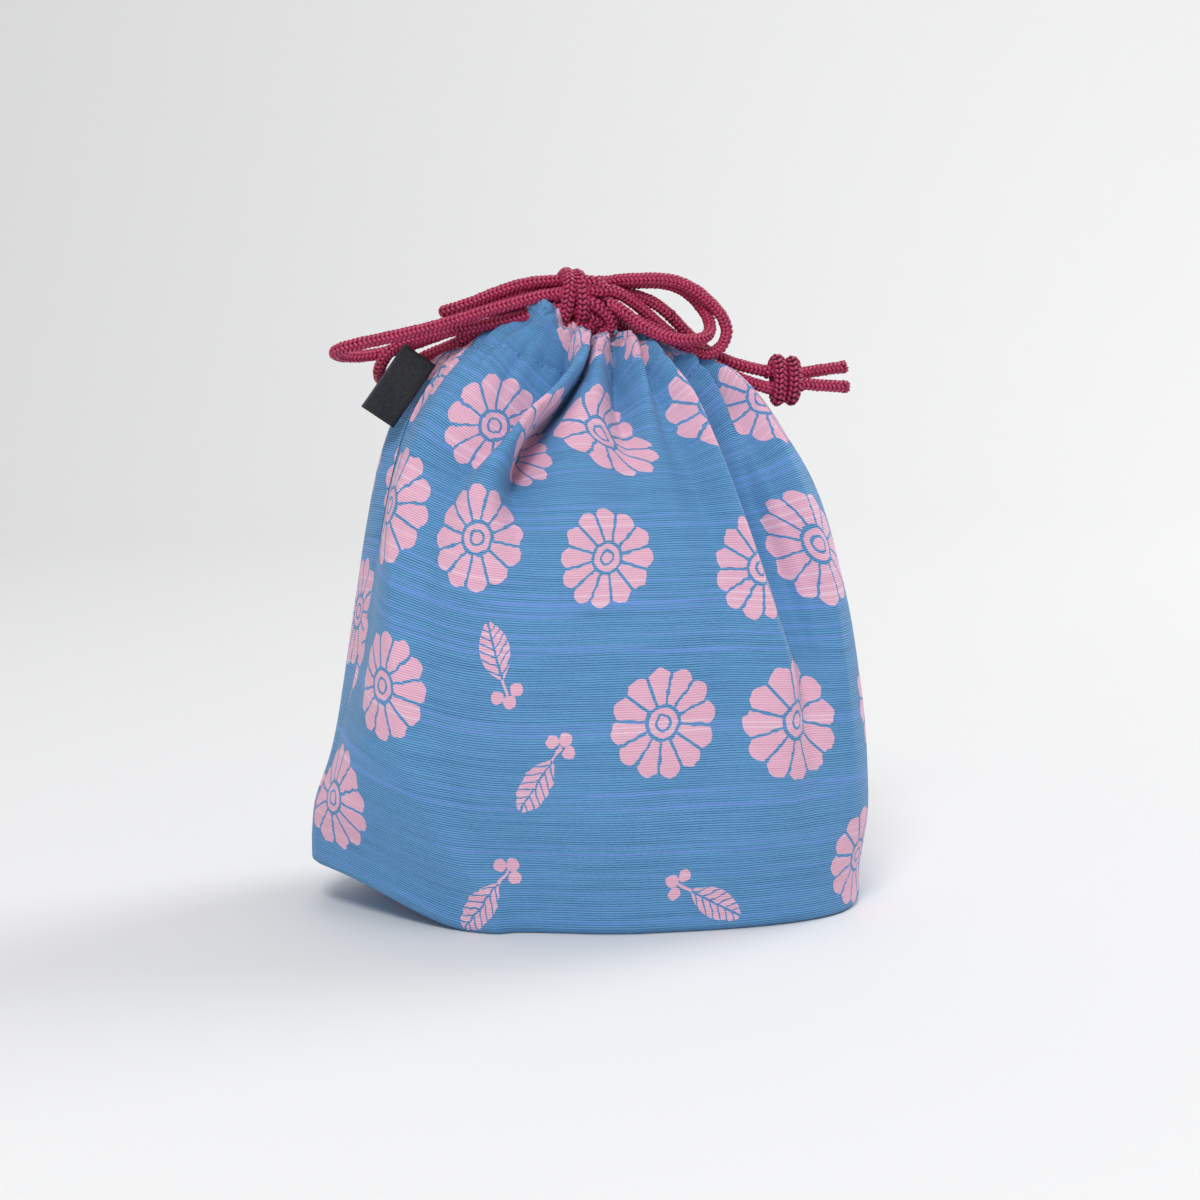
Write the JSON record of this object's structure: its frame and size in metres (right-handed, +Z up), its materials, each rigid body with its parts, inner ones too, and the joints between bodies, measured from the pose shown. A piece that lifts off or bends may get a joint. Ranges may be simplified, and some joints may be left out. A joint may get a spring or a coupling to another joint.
{
  "type": "drawstring lunch bag",
  "caption": "Soft fabric lunch bag with a boxed base, a gathered mouth closed by cords run through a casing, a bow tied on top and a small folded side label.",
  "frame": {"origin": "on the floor under the middle of the bag's base", "axes": "+X along the front from the left side seam to the right one, -Y is the front, +Z up through the mouth"},
  "size_m": [0.2037, 0.1482, 0.2318],
  "materials": {
    "printed_cotton": "matt ribbed cotton weave with a scattered pale blossom print",
    "hem_cotton": "matt ribbed cotton weave, folded and gathered",
    "braided_cord": "soft satin herringbone braid",
    "label_ribbon": "satin ribbon, plain black"
  },
  "bodies": {
    "bag": {"front_panel": "printed_cotton", "back_panel": "printed_cotton", "front_casing": "hem_cotton", "back_casing": "hem_cotton", "left_drawcord": "braided_cord", "right_drawcord": "braided_cord", "tie_knot": "braided_cord"},
    "label": {"side_label": "label_ribbon"},
    "left_bow": {"left_loop_long": "braided_cord", "left_loop_short": "braided_cord", "left_strand_outer": "braided_cord", "left_strand_inner": "braided_cord"},
    "left_tails": {"left_tail_outer": "braided_cord", "left_tail_inner": "braided_cord", "left_stopper_knot": "braided_cord", "left_end_outer": "braided_cord", "left_end_inner": "braided_cord"},
    "right_bow": {"right_loop_outer": "braided_cord", "right_loop_inner": "braided_cord", "right_strand_upper": "braided_cord", "right_strand_lower": "braided_cord"},
    "right_tails": {"right_tail_upper": "braided_cord", "right_tail_lower": "braided_cord", "right_stopper_knot": "braided_cord", "right_end_upper": "braided_cord", "right_end_lower": "braided_cord"}
  },
  "joints": [
    {"name": "label_flap", "type": "hinge", "parent": "bag", "child": "label", "pos_m": [-0.0647, 0, 0.1863], "axis": [0.5578, 0, 0.83], "range_deg": [0, 60], "stiffness_Nm_per_rad": 0.0004},
    {"name": "left_bow_lift", "type": "hinge", "parent": "bag", "child": "left_bow", "pos_m": [-0.0112, -0.009, 0.2308], "axis": [0, 1, 0], "range_deg": [0, 75]},
    {"name": "left_tail_lift", "type": "hinge", "parent": "left_bow", "child": "left_tails", "pos_m": [-0.0746, 0.012, 0.203], "axis": [0, 1, 0], "range_deg": [0, 30]},
    {"name": "right_bow_lift", "type": "hinge", "parent": "bag", "child": "right_bow", "pos_m": [0.0052, -0.012, 0.2304], "axis": [0, -1, 0], "range_deg": [0, 75]},
    {"name": "right_tail_lift", "type": "hinge", "parent": "right_bow", "child": "right_tails", "pos_m": [0.0466, -0.011, 0.2039], "axis": [0, -1, 0], "range_deg": [0, 60]}
  ]
}
